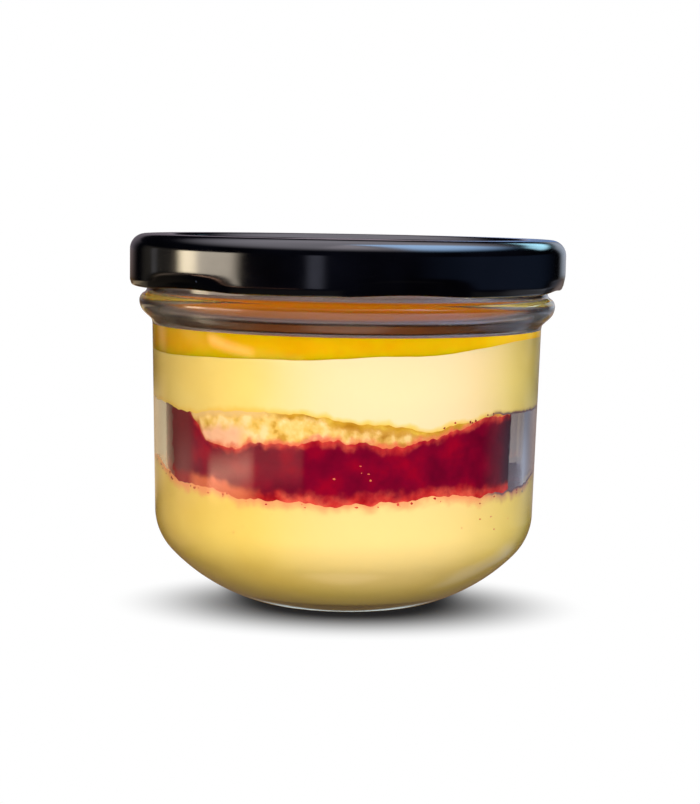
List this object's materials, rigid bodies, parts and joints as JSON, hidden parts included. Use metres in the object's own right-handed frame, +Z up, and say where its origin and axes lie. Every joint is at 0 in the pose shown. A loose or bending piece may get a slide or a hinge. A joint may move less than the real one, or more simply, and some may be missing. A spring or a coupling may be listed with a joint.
{
  "type": "cake in a jar",
  "caption": "Layered dessert of custard, berry-soaked cake, plain sponge and fruit jelly in a small round-heeled glass jar, shut with a black twist-off lid.",
  "frame": {"origin": "centre of the jar's base, on the plane it stands on", "axes": "+Z up along the jar's axis, -Y towards the side that the picture shows, +X to its right"},
  "size_m": [0.0856, 0.0856, 0.0709],
  "materials": {
    "jar_glass": "clear polished soda-lime glass with a faint grey-green tint",
    "black_lacquer": "glossy black lacquer on tinplate",
    "custard": "set pale yellow custard cream, soft sheen",
    "berry_cake": "crimson cake soaked in berry syrup, moist and crumbed",
    "sponge": "plain golden sponge with open crumb, matt",
    "fruit_jelly": "amber-yellow fruit jelly, glossy and slightly translucent"
  },
  "bodies": {
    "root": {"jar_glass": "jar_glass", "lid": "black_lacquer", "custard_lower": "custard", "berry_cake": "berry_cake", "sponge": "sponge", "custard_upper": "custard", "fruit_jelly": "fruit_jelly"}
  },
  "joints": []
}
